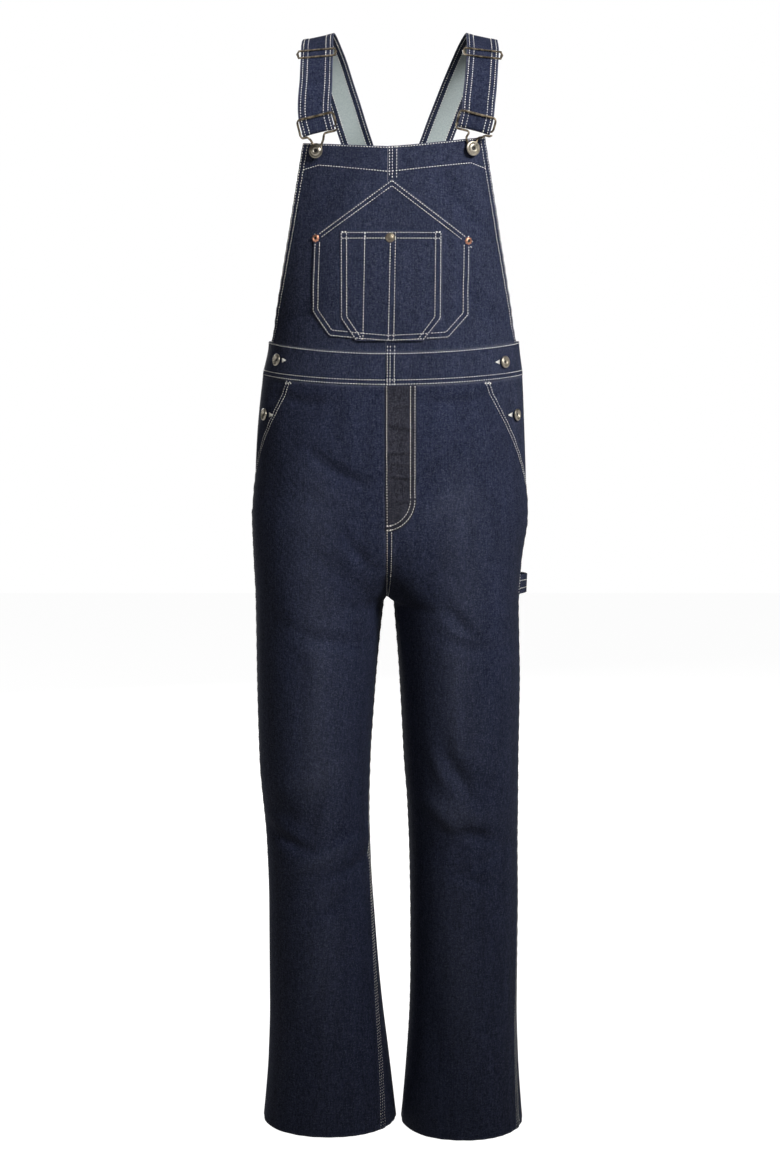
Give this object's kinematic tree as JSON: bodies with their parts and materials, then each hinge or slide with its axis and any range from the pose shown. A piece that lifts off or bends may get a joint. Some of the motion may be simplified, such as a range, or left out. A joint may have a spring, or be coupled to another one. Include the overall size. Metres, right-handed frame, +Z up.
{
  "type": "denim dungarees",
  "caption": "Straight-leg denim dungarees with a patch-pocket bib, side button closures, hammer loop and over-shoulder straps on wire buckles, filled out as worn.",
  "frame": {"origin": "midway between the crests of the two shoulder straps, where a wearer's shoulders or a stand's arms hold the garment up", "axes": "+Z up, the front of the garment faces -Y, +X is the wearer's left (the hammer loop's side); metres"},
  "size_m": [0.3408, 0.2414, 1.3474],
  "materials": {
    "denim": "raw dark indigo twill, right side out, with white contrast sewing",
    "denim_strap": "raw dark indigo twill folded to a 38 mm strap, its pale wrong side facing the wearer",
    "thread": "off-white spun topstitching thread",
    "denim_fly": "dark indigo twill, a little browner and duller than the panels",
    "buckle_brass": "antiqued brass wire and stampings",
    "button_metal": "nickel-plated shank buttons with a worn warm tone",
    "snap_metal": "dull bronze cap",
    "rivet_copper": "bright copper burr rivet"
  },
  "bodies": {
    "root": {"bib_right": "denim", "bib_left": "denim", "bib_pocket": "denim", "pen_pocket": "denim", "waistband_right": "denim", "waistband_left": "denim", "waistband_back": "denim", "back_bib": "denim", "front_leg_right": "denim", "front_leg_left": "denim", "back_leg_right": "denim", "back_leg_left": "denim", "side_facing_right": "denim", "side_facing_left": "denim", "fly": "denim_fly", "hammer_loop": "denim", "strap_right": "denim_strap", "strap_left": "denim_strap", "hook_right": "buckle_brass", "hook_left": "buckle_brass", "slider_right": "buckle_brass", "slider_left": "buckle_brass", "bib_button_right": "button_metal", "bib_button_left": "button_metal", "waist_button_right": "button_metal", "waist_button_left": "button_metal", "hip_button_right": "button_metal", "hip_button_left": "button_metal", "pen_snap": "snap_metal", "pocket_rivet_right": "rivet_copper", "pocket_rivet_left": "rivet_copper"}
  },
  "joints": []
}
